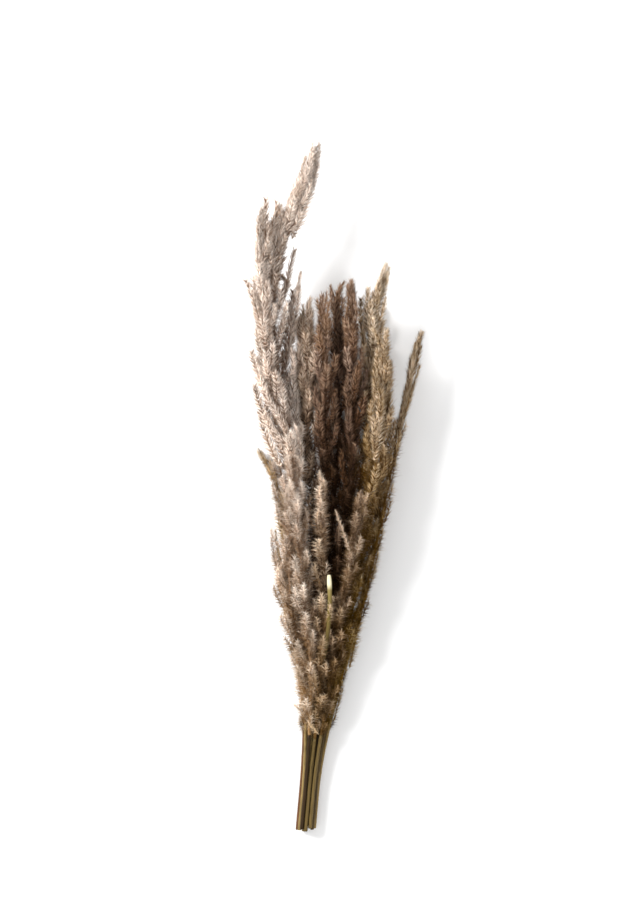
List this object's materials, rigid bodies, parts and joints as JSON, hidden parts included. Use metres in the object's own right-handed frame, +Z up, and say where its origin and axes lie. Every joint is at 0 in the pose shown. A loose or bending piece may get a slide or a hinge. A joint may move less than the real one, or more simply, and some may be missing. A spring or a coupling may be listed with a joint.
{
  "type": "bundle of dried plume grass",
  "caption": "Bunch of dried plume grass lying on its side: bare straw stalks held close at the cut ends, feathery plumes fanning out in pale, taupe, tan and dark tones.",
  "frame": {"origin": "middle of the footprint on the surface that the bunch lies on", "axes": "+Y from the cut ends to the plume tips, +X to the right seen from above with the tips away, +Z up from the surface"},
  "size_m": [0.1828, 0.76, 0.1041],
  "materials": {
    "culm": "dry straw, lightly ribbed, dull sheen",
    "plume_pale": "dry feathery fluff, matt, pale taupe",
    "plume_taupe": "dry feathery fluff, matt, taupe",
    "plume_dark": "dry feathery fluff, matt, dark brown",
    "plume_tan": "dry feathery fluff, matt, golden tan"
  },
  "bodies": {
    "root": {"culm_01": "culm", "plume_01": "plume_pale", "culm_02": "culm", "plume_02": "plume_taupe", "culm_03": "culm", "plume_03": "plume_tan", "culm_04": "culm", "plume_04": "plume_tan", "culm_05": "culm", "plume_05": "plume_taupe", "culm_06": "culm", "plume_06": "plume_dark", "culm_07": "culm", "plume_07": "plume_tan", "culm_08": "culm", "plume_08": "plume_pale", "culm_09": "culm", "plume_09": "plume_taupe", "culm_10": "culm", "plume_10": "plume_dark", "culm_11": "culm", "plume_11": "plume_tan", "culm_12": "culm", "plume_12": "plume_tan", "culm_13": "culm", "plume_13": "plume_pale", "culm_14": "culm", "plume_14": "plume_dark", "culm_15": "culm", "plume_15": "plume_dark", "culm_16": "culm", "plume_16": "plume_tan", "culm_17": "culm", "plume_17": "plume_pale", "culm_18": "culm", "plume_18": "plume_taupe", "culm_19": "culm", "plume_19": "plume_taupe"}
  },
  "joints": []
}
